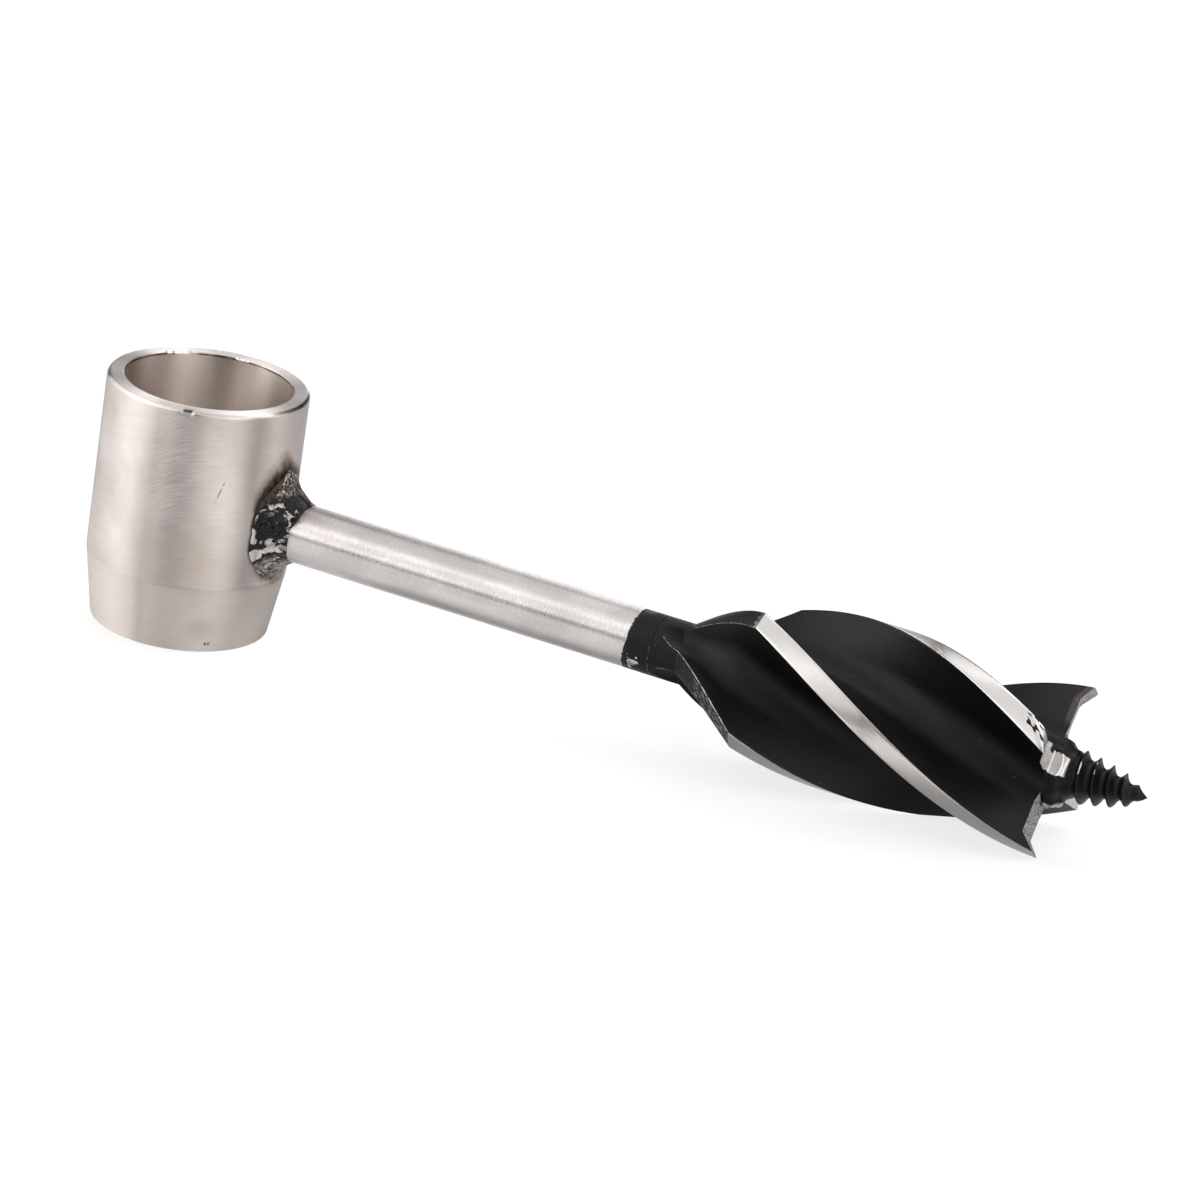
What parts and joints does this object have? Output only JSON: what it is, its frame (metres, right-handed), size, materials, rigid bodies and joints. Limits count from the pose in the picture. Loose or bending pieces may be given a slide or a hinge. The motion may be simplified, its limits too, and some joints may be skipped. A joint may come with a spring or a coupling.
{
  "type": "hand auger",
  "caption": "Hand auger: ring eye for a wooden cross handle, round bar shank welded to it, and a twisted winged bit with spurs and a screw point.",
  "frame": {"origin": "centre of the eye: where the axis of its bore crosses the axis of the bar, at half the eye's height", "axes": "+Z along the bore of the eye, toward its square-edged rim; +X along the bar, toward the screw point"},
  "size_m": [0.185, 0.0334, 0.042],
  "materials": {
    "eye_steel": "turned and brushed, with fine rings round the outside",
    "bar_steel": "drawn bar, brushed along its length",
    "weld_metal": "as welded: dark scale with bright spots",
    "bit_black": "thin gloss black in the flutes, ground bright on the lands",
    "screw_black": "gloss black, worn bright along the crest"
  },
  "bodies": {
    "root": {"eye_socket": "eye_steel", "shank": "bar_steel", "groove_weld": "bit_black", "bit_body": "bit_black", "lead_screw": "screw_black", "weld_upper": "weld_metal", "weld_front": "weld_metal", "weld_lower": "weld_metal", "weld_rear": "weld_metal"}
  },
  "joints": []
}
